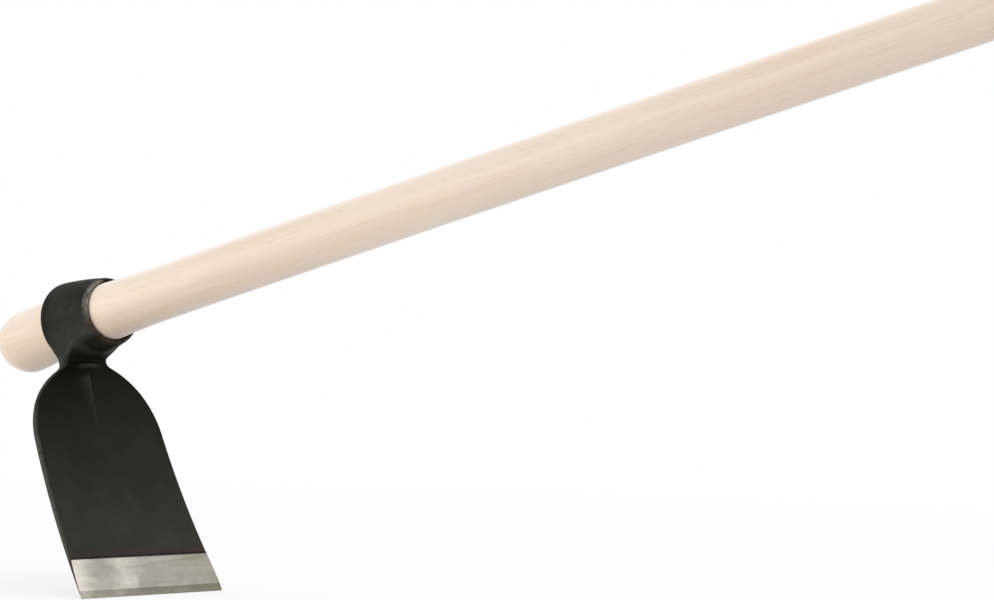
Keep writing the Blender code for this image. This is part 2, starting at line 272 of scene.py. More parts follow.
print("bore", [round(bore_radius(depth) * 2000, 1) for depth in (0, COLLAR_LENGTH)], "mm across")

# %% [markdown]
# The outside of the eye bulges a little. A curve through three radii, at the near rim, in the middle
# and at the far rim, gives that bulge without any corner.

# %% Outside of the eye
NEAR_WALL, MIDDLE_WALL, FAR_WALL = 0.0028, 0.0063, 0.0082


def collar_radius(depth):
    share = depth / COLLAR_LENGTH
    near = (bore_radius(0) + NEAR_WALL) * 2 * (share - 0.5) * (share - 1)
    middle = (bore_radius(COLLAR_LENGTH / 2) + MIDDLE_WALL) * 4 * share * (1 - share)
    far = (bore_radius(COLLAR_LENGTH) + FAR_WALL) * 2 * share * (share - 0.5)
    return near + middle + far


print("eye", [round(collar_radius(share * COLLAR_LENGTH) * 2000, 1) for share in (0, 0.5, 1)], "mm")

# %% [markdown]
# The outline is drawn once round the wall of the eye: along the outside, over the rounded far rim, back
# through the bore, and over the near rim. Each of its points will become a ring.

# %% Outline of the wall
NEAR_FILLET, NEAR_EASE, FAR_FILLET, CHAMFER = 0.0017, 0.0042, 0.0030, 0.0006
FILLET_STEPS, FRONT_STEPS, OUTSIDE_STEPS, BORE_STEPS = 6, 4, 26, 8
NECK_FRONT_DEPTH = 0.0160
QUARTER_TURN = [math.pi / 2 * step / FILLET_STEPS for step in range(FILLET_STEPS + 1)]


def wall_outline():
    """(radius, depth, part) round the wall, where part names the stretch of the outline."""
    points = []
    for angle in QUARTER_TURN:
        depth = NEAR_EASE * (1 - math.cos(angle))
        points.append((collar_radius(depth) - NEAR_FILLET * (1 - math.sin(angle)), depth, "near"))
    last = COLLAR_LENGTH - FAR_FILLET
    for step in range(1, FRONT_STEPS):
        depth = NEAR_EASE + (NECK_FRONT_DEPTH - NEAR_EASE) * step / FRONT_STEPS
        points.append((collar_radius(depth), depth, "outside"))
    for step in range(OUTSIDE_STEPS):
        depth = NECK_FRONT_DEPTH + (last - NECK_FRONT_DEPTH) * step / OUTSIDE_STEPS
        points.append((collar_radius(depth), depth, "outside"))
    for angle in QUARTER_TURN:
        depth = last + FAR_FILLET * math.sin(angle)
        points.append((collar_radius(depth) - FAR_FILLET * (1 - math.cos(angle)), depth, "far"))
    points.append((bore_radius(COLLAR_LENGTH) + CHAMFER, COLLAR_LENGTH, "rim"))
    for step in range(BORE_STEPS + 1):
        depth = COLLAR_LENGTH - CHAMFER - (COLLAR_LENGTH - 2 * CHAMFER) * step / BORE_STEPS
        points.append((bore_radius(depth), depth, "bore"))
    points.append((bore_radius(0) + CHAMFER, 0, "rim"))
    return points


outline = wall_outline()
print("outline of", len(outline), "points")

# %% [markdown]
# Spinning the outline with use_merge closes the ring on itself. The spin starts at the top of the eye,
# and an even number of steps puts one column of vertices exactly at the bottom, where the neck begins.
# The vertices carry numbers of their own in layers, which the finish reads later: how far down the blade
# they are (on the eye just a mark below zero), how worn the lacquer is, with a painted highlight in the
# same number, and how dark it is, from painted shade and from thick lacquer.
# The layers u and v are for the neck and the blade.

# %% Spin the eye
EYE_SIDES = 192
EYE_MARK = -0.03
RIM_FADE, CHAMFER_WEAR, BORE_WEAR = 0.7, 0.8, 0.3

head = bmesh.new()
down_blade = head.verts.layers.float.new("down_blade")
wear_and_highlight = head.verts.layers.float.new("wear_and_highlight")
pooled_and_shade = head.verts.layers.float.new("pooled_and_shade")
u_layer = head.verts.layers.float.new("u")
v_layer = head.verts.layers.float.new("v")
ring = [head.verts.new((0, depth, radius)) for radius, depth, part in outline]
for vertex, (radius, depth, part) in zip(ring, outline):
    vertex[down_blade] = EYE_MARK
    # At the near rim the wear is partly a painted highlight.
    vertex[wear_and_highlight] = {"near": 1 - RIM_FADE * depth / NEAR_EASE, "rim": CHAMFER_WEAR,
                    "bore": BORE_WEAR}.get(part, 0.0)
loop = [head.edges.new((ring[index - 1], ring[index])) for index in range(len(ring))]
bmesh.ops.spin(head, geom=ring + loop, cent=(0, 0, 0), axis=(0, 1, 0), dvec=(0, 0, 0),
               angle=2 * math.pi, steps=EYE_SIDES, use_merge=True)
bmesh.ops.recalc_face_normals(head, faces=head.faces)
print("eye of", len(head.faces), "faces")

# %% [markdown]
# Dipped lacquer isn't equally thick all over, and the shade on the eye is painted into the same number.
# The eye is painted darker on top, round the far rim and underneath, and lighter on its lower sides:
# painted shade, together with lacquer that is thicker there. At the near rim a band of bare steel is
# partly wear from the handle and partly a painted highlight, stronger on one side than on the other. Soft
# steps of the height on the ring, from -1 at the bottom to 1 at the top, and of the depth behind the near
# rim say all this in a few lines.

# %% Painted shade and lacquer on the eye
POOLED_SHADE_SIDES, SIDES_FROM, SIDES_FULL = 0.74, -0.60, 0.0
POOLED_SHADE_TOP, TOP_FROM, TOP_FULL = 0.26, 0.55, 0.90
POOLED_SHADE_FAR, FAR_FROM = 0.50, 0.68
UNDER_FULL = -0.82
RIM_WEAR_HIGHLIGHT_LOST, LOST_UPWARD, LOST_RIGHTWARD = 0.85, (0.2, 0.6), (0.45, 0.05)


def ease(value, low=0.0, high=1.0):
    """A soft step from 0 at low to 1 at high."""
    value = min(max((value - low) / (high - low), 0), 1)
    return value * value * (3 - 2 * value)


for vertex in head.verts:
    radius = math.hypot(vertex.co.x, vertex.co.z)
    up, left = vertex.co.z / radius, -vertex.co.x / radius
    above = POOLED_SHADE_SIDES * ease(up, SIDES_FROM, SIDES_FULL) + POOLED_SHADE_TOP * ease(up, TOP_FROM, TOP_FULL)
    far = POOLED_SHADE_FAR * ease(vertex.co.y / COLLAR_LENGTH, FAR_FROM)
    under = ease(up, SIDES_FROM, UNDER_FULL)
    vertex[pooled_and_shade] = min(above + far + under, 1)
    # The near rim's wear and painted highlight are taken away on top, except towards the left.
    vertex[wear_and_highlight] *= 1 - RIM_WEAR_HIGHLIGHT_LOST * ease(up, *LOST_UPWARD) * ease(left, *LOST_RIGHTWARD)
# The lower sides of the eye come out lighter and its top and underside darker: painted shade.
print("lacquer is thinnest on the lower sides of the eye")

# %% [markdown]
# ## Opening the eye for the neck
#
# The neck isn't stuck on to the eye: it is the same steel. So a patch of the eye's underside is taken
# away, and the neck is drawn out of the edge of that hole, row by row, the way a smith draws out a bar.
# Every vertex on the hole's edge is given two numbers: u says how far it is across, from -1 to 1, and v
# how far it is from the front (0) to the back (1).

# %% Open the underside
NECK_ANGLE = math.radians(52.5)
BACK_RING = FILLET_STEPS // 2


def angle_from_bottom(point):
    return math.atan2(point.x, -point.z)


NECK_BACK_DEPTH = COLLAR_LENGTH - FAR_FILLET + FAR_FILLET * math.sin(QUARTER_TURN[BACK_RING])


def inside_opening(face):
    """True for the outside faces on the underside, between the neck's front and back."""
    middle = face.calc_center_median()
    if abs(angle_from_bottom(middle)) > NECK_ANGLE:
        return False
    if math.hypot(middle.x, middle.z) < bore_radius(middle.y) + CHAMFER * 2:
        return False
    return NECK_FRONT_DEPTH < middle.y < NECK_BACK_DEPTH


opening = [face for face in head.faces if inside_opening(face)]
bmesh.ops.delete(head, geom=opening, context="FACES")
rim_edges = [edge for edge in head.edges if edge.is_boundary]
rim_vertices = {vertex for edge in rim_edges for vertex in edge.verts}
print("opened", len(opening), "faces, the hole has", len(rim_edges), "edges")

# %% [markdown]
# The numbers are kept twice: in two vertex layers, which later rows inherit, and in a table that gives
# each pair's starting place on the eye. u is rounded, so that it can be looked up again.

# %% Number the hole's edge
U_DIGITS, DEPTH_DIGITS = 5, 6

home = {}
depths = sorted({round(vertex.co.y, DEPTH_DIGITS) for vertex in rim_vertices})
for vertex in rim_vertices:
    u = round(angle_from_bottom(vertex.co) / NECK_ANGLE, U_DIGITS)
    v = depths.index(round(vertex.co.y, DEPTH_DIGITS)) / (len(depths) - 1)
    vertex[u_layer], vertex[v_layer] = u, v
    home[(u, vertex[v_layer])] = vertex.co.copy()
print("the sides of the hole have", len(depths) - 1, "edges")

# %% [markdown]
# ## The blade's plan
#
# Three plain functions describe the drawn-out blade. Its middle surface is an arc that curves back
# towards the user. Its half width is the neck, then a round shoulder, then a straight side that flares.
# Its thickness falls fast below the neck and slowly after the shoulder, as hammering leaves it.

# %% The blade's arc
BLADE_INSET = 0.0058
NECK_DROP = 0.0070
BLADE_LENGTH = 0.1793
BLADE_TOP_LEAN = math.radians(7.4)
BLADE_CURVE_RADIUS = 0.540
BLADE_SETBACK = COLLAR_LENGTH - BLADE_INSET
BLADE_TOP = bore_radius(BLADE_SETBACK) + NECK_DROP


def blade_lean(distance):
    return BLADE_TOP_LEAN + distance / BLADE_CURVE_RADIUS


def blade_frame(distance):
    """Middle of the blade at a distance down its face, with its front and downward directions."""
    lean = blade_lean(distance)
    forward = BLADE_CURVE_RADIUS * (math.cos(BLADE_TOP_LEAN) - math.cos(lean))
    down = BLADE_CURVE_RADIUS * (math.sin(lean) - math.sin(BLADE_TOP_LEAN))
    middle = Vector((0, BLADE_SETBACK - forward, -BLADE_TOP - down))
    front = Vector((0, -math.cos(lean), math.sin(lean)))
    downward = Vector((0, -math.sin(lean), -math.cos(lean)))
    return middle, front, downward


print("the blade leans", [round(math.degrees(blade_lean(d))) for d in (0, BLADE_LENGTH)], "degrees")

# %% [markdown]
# The shoulder is part of a circle that runs tangent into the flaring side. The neck is narrower than
# that circle at the top, and a soft maximum of the two widths rounds the corner between them.

# %% The blade's outline
NECK_HALF_WIDTH, NECK_CORNER = 0.0184, 0.0040
EDGE_HALF_WIDTH = 0.0602
SIDE_FLARE = math.radians(3.1)
SHOULDER_LENGTH, SHOULDER_RADIUS = 0.0557, 0.0588


def half_width(distance):
    tangent_width = EDGE_HALF_WIDTH - math.tan(SIDE_FLARE) * (BLADE_LENGTH - SHOULDER_LENGTH)
    if distance >= SHOULDER_LENGTH:
        return tangent_width + math.tan(SIDE_FLARE) * (distance - SHOULDER_LENGTH)
    centre_distance = SHOULDER_LENGTH + SHOULDER_RADIUS * math.sin(SIDE_FLARE)
    centre_width = tangent_width - SHOULDER_RADIUS * math.cos(SIDE_FLARE)
    inside = max(SHOULDER_RADIUS ** 2 - (distance - centre_distance) ** 2, 0)
    shoulder = centre_width + math.sqrt(inside)
    softness = NECK_CORNER * (1 - max(distance, 0) / SHOULDER_LENGTH)
    return (NECK_HALF_WIDTH + shoulder + math.hypot(NECK_HALF_WIDTH - shoulder, softness)) / 2


print("half widths", [round(half_width(d / 1000) * 1000, 1) for d in (0, 20, 56, 179)], "mm")

# %% [markdown]
# The thickness is read from the narrow side face that shows at the left of the ground edge. The neck is
# nearly twice as thick as the shoulder, because it carries the whole load of a stroke.

# %% The blade's thickness
NECK_DEPTH, SHOULDER_THICKNESS, BLADE_THICKNESS = 0.0090, 0.0050, 0.0031
SHOULDER_THINNING = 2.5
THINNING_END = 0.77


def plate_thickness(distance):
    if distance < SHOULDER_LENGTH:
        above = (1 - max(distance, 0) / SHOULDER_LENGTH) ** SHOULDER_THINNING
        return SHOULDER_THICKNESS + (NECK_DEPTH - SHOULDER_THICKNESS) * above
    share = (distance - SHOULDER_LENGTH) / (BLADE_LENGTH - SHOULDER_LENGTH)
    thinned = min(share / THINNING_END, 1)
    return SHOULDER_THICKNESS + (BLADE_THICKNESS - SHOULDER_THICKNESS) * thinned


print("thickness", [round(plate_thickness(d / 1000) * 1000, 1) for d in (0, 20, 56, 179)], "mm")

# %% [markdown]
# ## What stands up from the face
#
# A rib runs down from the neck and dies out in a point: it stiffens the blade where the work bends it.
# Across the rib's start a small lip is left where the hammer stopped under the eye. They could be pieces
# of their own, but on the real tool they are drawn out of the face. So each is a height that is added to
# it, by a formula for a smooth bump, and no edge shows.

# %% Rib and lip
RIB_LENGTH, RIB_HEIGHT = 0.059, 0.0030
RIB_HALF_WIDTH, RIB_TIP_HALF_WIDTH, RIB_CREST = 0.0085, 0.0010, 0.0008
RIB_FALL = 1.5
LIP_PLACE, LIP_HALF_LENGTH, LIP_HEIGHT = 0.0050, 0.0016, 0.0014
LIP_SIDE, LIP_HALF_WIDTH = 0.0005, 0.0105


def rib_height(distance, across):
    share = max(distance, 0) / RIB_LENGTH
    if share >= 1:
        return 0
    spread = RIB_HALF_WIDTH * (1 - share) + RIB_TIP_HALF_WIDTH
    crest = math.hypot(across, RIB_CREST) - RIB_CREST
    return RIB_HEIGHT * (1 - share) * math.exp(-(crest / spread) ** RIB_FALL)


def lip_height(distance, across):
    along = math.exp(-((distance - LIP_PLACE) / LIP_HALF_LENGTH) ** 2)
    sideways = math.exp(-((across - LIP_SIDE) / LIP_HALF_WIDTH) ** 4)
    return LIP_HEIGHT * along * sideways


print("rib", RIB_LENGTH * 1000, "mm long and", RIB_HEIGHT * 1000, "mm high at the neck")

# %% [markdown]
# The whole face is also very slightly uneven, as hammered steel is. A smooth noise gives that, on the
# back from another place in the noise. It dies out above the ground band, so that the band starts in a
# straight line.

# %% Hammer marks
GROUND_BAND = 0.0287
MARK_SIZE, MARK_DEPTH, BACK_SHIFT = 0.016, 0.00016, 7.3
MARKS_CLEAR, MARKS_FADE = 0.004, 0.02


def above_band(distance):
    """1 on the face, falling to 0 near the ground band."""
    return min(max((BLADE_LENGTH - GROUND_BAND - MARKS_CLEAR - distance) / MARKS_FADE, 0), 1)


def hammer_marks(distance, across, side):
    where = Vector((across / MARK_SIZE, distance / MARK_SIZE, side * BACK_SHIFT))
    return MARK_DEPTH * (noise.noise(where) - 0.5)


print("marks about", MARK_SIZE * 1000, "mm across and", MARK_DEPTH * 1000, "mm deep")

# %% [markdown]
# ## One row of the blade
#
# Each row is a closed loop round the blade's section: the front from side to side, one rounded side, the
# back, the other side. Columns crowd together at the middle, where the rib is, and at the sides, where
# the edge is rounded.

# %% Across the face and round the side
COLUMN_CROWDING = 0.80
ROUNDED_SHARE = 1 / 3


def share_across(u):
    """Place across the face, -1 to 1, for the column u: crowded at the middle and at the sides."""
    return u - COLUMN_CROWDING * math.sin(2 * math.pi * u) / (2 * math.pi)


def side_profile(v, thickness, rounding):
    """(how far in from the side, offset from the middle surface) round a rounded side, 0 <= v <= 1."""
    if v <= ROUNDED_SHARE:
        angle = math.pi / 2 * v / ROUNDED_SHARE
        return rounding * (1 - math.sin(angle)), thickness / 2 - rounding * (1 - math.cos(angle))
    if v >= 1 - ROUNDED_SHARE:
        inward, offset = side_profile(1 - v, thickness, rounding)
        return inward, -offset
    straight = (v - ROUNDED_SHARE) / (1 - 2 * ROUNDED_SHARE)
    return 0, (thickness / 2 - rounding) * (1 - 2 * straight)


print("columns at", [round(share_across(u / 4), 2) for u in range(-4, 5)])

# %% [markdown]
# A point is its place on the section, carried down the arc. The sides are rounder at the neck than lower
# down. The front, where v is 0, gets the rib and the lip, and front and back get their hammer marks,
# which die out towards the sides.

# %% A row's points
EDGE_ROUNDING, NECK_ROUNDING, ROUNDING_FADE = 0.0011, 0.0034, 0.030
MOST_ROUNDING = 0.45
MARKS_TO_SIDE = 6


def row_point(u, v, distance):
    """Place of column (u, v) on the row at a distance down the blade."""
    middle, front, downward = blade_frame(distance)
    thickness = plate_thickness(distance)
    fade = max(1 - distance / ROUNDING_FADE, 0) ** 2
    rounding = min(EDGE_ROUNDING + (NECK_ROUNDING - EDGE_ROUNDING) * fade, thickness * MOST_ROUNDING)
    inward, offset = side_profile(v, thickness, rounding)
    across = share_across(u) * (half_width(distance) - inward)
    if v == 0:
        offset += rib_height(distance, across) + lip_height(distance, across)
    if v in (0, 1):
        calm_sides = 1 - abs(u) ** MARKS_TO_SIDE
        offset += hammer_marks(distance, across, v) * calm_sides * above_band(distance)
    return middle + front * offset + Vector((across, 0, 0))


corner = row_point(1.0, 0, BLADE_LENGTH)
print("lower corner", [round(value * 1000, 1) for value in corner])

# %% [markdown]
# ## Drawing out the neck
#
# Between the hole in the eye and the blade's first row, each vertex follows a smooth curve. The curve
# leaves the eye along its surface and arrives along the blade's face, so the steel flows from one to the
# other with no crease. A Bezier curve does this: its two inner handles set the two directions. The first
# is along the eye at the front, over the far rim at the back, and round the eye at the sides.

# %% How the curves leave the eye
SIDE_FROM_FRONT, SIDE_FROM_BACK = 0.35, 0.25
CORNER_FROM, CORNER_TURN = 0.6, 0.5
SLOPE_STEP = 0.0005


def leaving_direction(u, v, start):
    angle = angle_from_bottom(start)
    outward = Vector((math.sin(angle), 0, -math.cos(angle)))
    around = Vector((-math.cos(angle), 0, -math.sin(angle))) * math.copysign(1, u)
    slope = (collar_radius(start.y + SLOPE_STEP) - collar_radius(start.y)) / SLOPE_STEP
    along = (Vector((0, 1, 0)) + outward * slope).normalized()
    over_far_rim = (Vector((0, -1, 0)) + outward).normalized()
    sideways = ease(v / SIDE_FROM_FRONT) * ease((1 - v) / SIDE_FROM_BACK)
    if v in (0, 1):
        sideways = CORNER_TURN * max(abs(u) - CORNER_FROM, 0)
    toward = along if v < 0.5 else over_far_rim
    return (toward * (1 - sideways) + around * sideways).normalized()


print("the middle of the front leaves along", leaving_direction(0, 0, home[(0, 0)]))

# %% [markdown]
# The front curves leave the eye late and meet the blade sharply, the side curves are rounder. Towards
# its corners the front is also drawn down a little, which leaves the web between eye and neck.

# %% The curves of the neck
NECK_ROWS = 26
FIRST_ROW = 0.0020
FRONT_REACH, FRONT_ARRIVAL = 0.55, 0.10
SIDE_REACH, SIDE_ARRIVAL = 0.34, 0.36
FRONT_UNTIL = 0.30
WEB_DROP, WEB_FROM, WEB_GROWTH = 0.0050, 0.45, 0.5


def neck_point(u, v, share):
    """Place of column (u, v) at a share of the way from the eye to the blade's first row."""
    start = home[(u, v)]
    end = row_point(u, v, FIRST_ROW)
    chord = (end - start).length
    front = 1 - ease(v / FRONT_UNTIL)
    reach = SIDE_REACH + (FRONT_REACH - SIDE_REACH) * front
    arrival = SIDE_ARRIVAL + (FRONT_ARRIVAL - SIDE_ARRIVAL) * front
    downward = blade_frame(FIRST_ROW)[2]
    first = start + leaving_direction(u, v, start) * chord * reach
    first.z -= WEB_DROP * front * ease((abs(u) - WEB_FROM) / WEB_GROWTH)
    second = end - downward * chord * arrival
    rest = 1 - share
    return (start * rest ** 3 + first * 3 * rest ** 2 * share
            + second * 3 * rest * share ** 2 + end * share ** 3)


print("neck of", NECK_ROWS, "rows")

# %% [markdown]
# ## Lacquer, painted shade and wear further down
#
# Under the eye the lacquer is painted dark, as painted shade together with thick lacquer, and it grows
# lighter down the blade, whose top lies in the eye's shade. The sides of the neck stay light. The lip and
# the rib's left flank are painted lighter as painted highlights, the rib's right flank only a little.

# %% Painted shade and thickness of the lacquer
NECK_MARK = -0.02
POOLED_SHADE_NECK, NECK_POOLED_SHADE = 0.76, 2.5
SHADE_THICK_UNTIL, SIDE_SHADE_THICK_FROM = 0.010, 0.030
RIB_LIGHT_LEFT, RIB_LIGHT_RIGHT, LIP_HIGHLIGHT_IN_LACQUER = 1.25, 0.10, 1.20
RIB_LIGHT_FROM, RIB_LIGHT_FULL = 0.009, 0.015


def lacquer_shade_and_depth(u, v, distance):
    """1 for painted shade and thick lacquer under the eye, falling to 0 at the ground band."""
    down = (distance - SHADE_THICK_UNTIL) / (BLADE_LENGTH - GROUND_BAND - SHADE_THICK_UNTIL)
    shade_and_thick = 1 - min(max(down, 0), 1)
    if 0 < v < 1:
        return shade_and_thick * ease(distance / SIDE_SHADE_THICK_FROM)
    if distance < 0:
        return POOLED_SHADE_NECK * ease(NECK_POOLED_SHADE * (1 - distance / NECK_MARK))
    if v == 0:
        across = share_across(u) * half_width(distance)
        # The rib's left flank is painted much lighter than its right flank: a painted highlight.
        painted_light = RIB_LIGHT_LEFT if across < 0 else RIB_LIGHT_RIGHT
        on_rib = rib_height(distance, across) / RIB_HEIGHT
        shade_and_thick -= painted_light * on_rib * ease(distance, RIB_LIGHT_FROM, RIB_LIGHT_FULL)
        # The lip's crest is painted lighter: a painted highlight.
        shade_and_thick -= LIP_HIGHLIGHT_IN_LACQUER * lip_height(distance, across) / LIP_HEIGHT
    return max(shade_and_thick, 0)


print("lacquer at the left of the face", [round(lacquer_shade_and_depth(-0.5, 0, d / 1000), 2) for d in (5, 50, 150)])

# %% [markdown]
# The narrow sides and the corners of the blade are knocked and partly bare. That begins on the shoulder
# and is at its full strength a few centimetres below the neck. The crest of the lip gets a painted
# highlight in the same number, which shows as bare steel.

# %% Wear and painted highlight
SIDE_WEAR, CORNER_WEAR, LIP_HIGHLIGHT_AS_STEEL, WEAR_START = 0.46, 0.48, 0.45, 0.040
AT_CORNER = 0.999


def wear_and_highlight_at(u, v, distance):
    if 0 < v < 1:
        rubbed = SIDE_WEAR
    else:
        rubbed = CORNER_WEAR if abs(u) > AT_CORNER else 0
    rubbed *= min(max(distance / WEAR_START, 0), 1)
    if v == 0:
        across = share_across(u) * half_width(distance)
        # A painted highlight on the lip's crest, shown as bare steel.
        rubbed = max(rubbed, LIP_HIGHLIGHT_AS_STEEL * lip_height(distance, across) / LIP_HEIGHT)
    return rubbed


print("wear of the side", [round(wear_and_highlight_at(1, 0.5, d / 1000), 2) for d in (0, 20, 40, 150)])

# %% [markdown]
# ## Extruding row after row
#
# bmesh.ops.extrude_edge_only copies a loop of edges and joins the copy to the old loop with faces. The
# copies keep u and v, so each new vertex can be sent to its place and given its numbers. The same few
# lines draw the neck and the whole blade.

# %% Extrude the neck and the blade
BLADE_ROWS = 118
ROW_CROWDING = 1.25


def next_row(edges, point_for, distance):
    """Extrude the open loop once and move the new vertices."""
    result = bmesh.ops.extrude_edge_only(head, edges=edges)["geom"]
    for vertex in (item for item in result if isinstance(item, bmesh.types.BMVert)):
        u, v = round(vertex[u_layer], U_DIGITS), vertex[v_layer]
        vertex.co = point_for(u, v)
        vertex[down_blade] = distance
        vertex[wear_and_highlight] = wear_and_highlight_at(u, v, distance)
        vertex[pooled_and_shade] = lacquer_shade_and_depth(u, v, distance)
    return [item for item in result if isinstance(item, bmesh.types.BMEdge) and item.is_boundary]


edges = rim_edges
for row in range(1, NECK_ROWS + 1):
    share = row / NECK_ROWS
    edges = next_row(edges, lambda u, v: neck_point(u, v, share), NECK_MARK * (1 - share))
for row in range(1, BLADE_ROWS + 1):
    distance = FIRST_ROW + (BLADE_LENGTH - FIRST_ROW) * (row / BLADE_ROWS) ** ROW_CROWDING
    edges = next_row(edges, lambda u, v: row_point(u, v, distance), distance)
print("head of", len(head.faces), "faces, still open at the cutting edge")

# %% [markdown]
# The last loop is closed with one face: it is the blunt end of the plate, before grinding. Some
# smoothing then takes out what is left of creases in the neck. Plain smoothing would also shrink it, so
# each pass is followed by one with a negative factor, which swells the shape back to its size.

# %% Close the end and ease the join
EASE_PASSES = 40
EASE_IN, EASE_OUT = 0.50, -0.51
EYE_RINGS = 4


def smooth_once(vertices, factor):
    bmesh.ops.smooth_vert(head, verts=vertices, factor=factor,
                          use_axis_x=True, use_axis_y=True, use_axis_z=True)


bmesh.ops.contextual_create(head, geom=edges)
near_join = {vertex for vertex in head.verts if NECK_MARK <= vertex[down_blade] < 0}
for _ in range(EYE_RINGS):
    near_join |= {edge.other_vert(vertex) for vertex in near_join for edge in vertex.link_edges
                  if edge.other_vert(vertex)[down_blade] < 0}
near_join = [vertex for vertex in head.verts if vertex in near_join]
for _ in range(EASE_PASSES):
    smooth_once(near_join, EASE_IN)
    smooth_once(near_join, EASE_OUT)
print("eased", len(near_join), "vertices round the join")

# %% [markdown]
# The corners of the neck get some plain passes more, because a fine fold would be left there. The number
# for the lacquer's painted shade and thickness is blurred round the whole join, so that no step shows in
# the colour.

# %% Smooth the neck's corners and blur the painted shade
CORNER_CLEAR, CORNER_PASSES = 0.15, 20
BLUR_PASSES = 16

corners = [vertex for vertex in near_join
           if abs(vertex[u_layer]) > CORNER_FROM and abs(vertex[v_layer] - 0.5) > CORNER_CLEAR]
for _ in range(CORNER_PASSES):
    smooth_once(corners, EASE_IN)
for _ in range(BLUR_PASSES):
    around = [[edge.other_vert(vertex)[pooled_and_shade] for edge in vertex.link_edges] for vertex in near_join]
    for vertex, values in zip(near_join, around):
        vertex[pooled_and_shade] = (vertex[pooled_and_shade] + sum(values) / len(values)) / 2
bmesh.ops.recalc_face_normals(head, faces=head.faces)
print(len(corners), "vertices at the corners, open edges", sum(not e.is_manifold for e in head.edges))

# %% [markdown]
# ## Grinding the edge
#
# The cutting edge is made as in the workshop, by taking steel away from the front face. A plane cuts
# the mesh with bisect_plane, the part in front of it is cleared, and one new flat face closes the cut.
# That is done twice: once for the long bevel, once for the short steep one at the very edge. Only the
# lowest part of the blade is given to the cut, because the plane would meet the eye further up. The new
# faces get the numbers of their finishes, 1 and 2. All the others keep number 0, the lacquer.

# %% Grind two bevels
SECOND_BEVEL = 0.0053
SECOND_BEVEL_THICKNESS, EDGE_THICKNESS = 0.0015, 0.0005
GROUND, HONED = 1, 2
CUT_TOLERANCE = 0.000001


def face_point(distance, left):
    """Point on the centre line of the face, where the plate is left this thick."""
    middle, front, downward = blade_frame(distance)
    return middle + front * (left - plate_thickness(distance) / 2)


def grind(start, start_left, stop, stop_left, finish):
    """Cut the front face back to the plane through two lines across it."""
    first, second = face_point(start, start_left), face_point(stop, stop_left)
    normal = Vector((1, 0, 0)).cross(second - first).normalized()
    if normal.y > 0:
        normal.negate()
    faces = [face for face in head.faces if any(v[down_blade] > start for v in face.verts)]
    around = {item for face in faces for item in (*face.edges, *face.verts)}
    low = [item for item in (*head.verts, *head.edges) if item in around]
    bmesh.ops.bisect_plane(head, geom=low + faces, plane_co=first, plane_no=normal,
                           dist=CUT_TOLERANCE, clear_outer=True)
    cut = [edge for edge in head.edges if edge.is_boundary]
    for face in bmesh.ops.contextual_create(head, geom=cut)["faces"]:
        face.material_index = finish


band_top = BLADE_LENGTH - GROUND_BAND
turn = BLADE_LENGTH - SECOND_BEVEL
grind(band_top, plate_thickness(band_top), turn, SECOND_BEVEL_THICKNESS, GROUND)
grind(turn, SECOND_BEVEL_THICKNESS, BLADE_LENGTH, EDGE_THICKNESS, HONED)
bmesh.ops.recalc_face_normals(head, faces=head.faces)
print("ground twice, open edges", sum(not edge.is_manifold for edge in head.edges))

# %% [markdown]
# ## Helpers for the finishes
#
# Lacquer, steel and beech could be pictures wrapped round the shapes. Here they are made of noises
# instead, which have no seams and stay sharp from close by. Each noise lies in the tool's own space, so
# that a pattern can follow the tilted handle, and it can be drawn out along an axis.

# %% Empty finish and noise


def new_finish(name, **sockets):
    """A material with a Principled shader, and the Object coordinates of its piece."""
    finish = bpy.data.materials.new(name)
    tree = blank_tree(finish)
    shader = add_node(tree, "BsdfPrincipled", **sockets)
    join(shader, add_node(tree, "OutputMaterial").inputs["Surface"])
    return finish, tree, shader, add_node(tree, "TexCoord")


def add_noise(place, scale, detail=3.0, roughness=0.5, stretch=(1, 1, 1)):
    """Noise in the tool's own space, drawn out along each axis by its stretch."""
    new = add_node(place.id_data, "TexNoise", Scale=scale, Detail=detail, Roughness=roughness)
    mapping = add_node(place.id_data, "Mapping", {"vector_type": "TEXTURE"})
    mapping.inputs["Location"].default_value = EYE_PLACE
    mapping.inputs["Rotation"].default_value = Euler((-HANDLE_RISE, 0, 0))
    mapping.inputs["Scale"].default_value = stretch
    join(place, mapping.inputs["Vector"], "Object")
    join(mapping, new.inputs["Vector"])
    return new


print("noises are turned by", round(math.degrees(HANDLE_RISE)), "degrees")

# %% [markdown]
# Colours are mixed in two ways: from one to the other by a factor, or multiplied, which makes a colour
# lighter or darker. The Mix node has several sockets of the same name, so the one for colours is found
# by its type.

# %% Mix colours


def join_color(source, target):
    color = [item for item in source.outputs if item.type == "RGBA"][0]
    source.id_data.links.new(color, target)


def mix_colors(factor, first, second):
    """first where the factor is 0, second where it is 1. A factor of None multiplies the colours."""
    settings = {"data_type": "RGBA", "blend_type": "MIX" if factor else "MULTIPLY"}
    new = add_node((factor or first).id_data, "Mix", settings, Factor=1.0)
    if factor:
        join(factor, new.inputs["Factor"])
    for socket, value in (("A", first), ("B", second)):
        target = [item for item in new.inputs if item.name == socket and item.type == "RGBA"][0]
        if isinstance(value, tuple):
            target.default_value = (*value, 1)
        else:
            join_color(value, target)
    return new


def shade(color, value):
    """A colour multiplied by a node's value."""
    gray = add_node(value.id_data, "CombineColor")
    for socket in gray.inputs[:3]:
        join(value, socket)
    return mix_colors(None, color, gray)


print("colours can be mixed and shaded")

# %% [markdown]
# The last helper joins a finish to its shader: the colour, the roughness, and the relief. One bump can
# lie on another, so coarse marks and fine ones are kept apart, each with its own depth.

# %% Join a finish to its shader


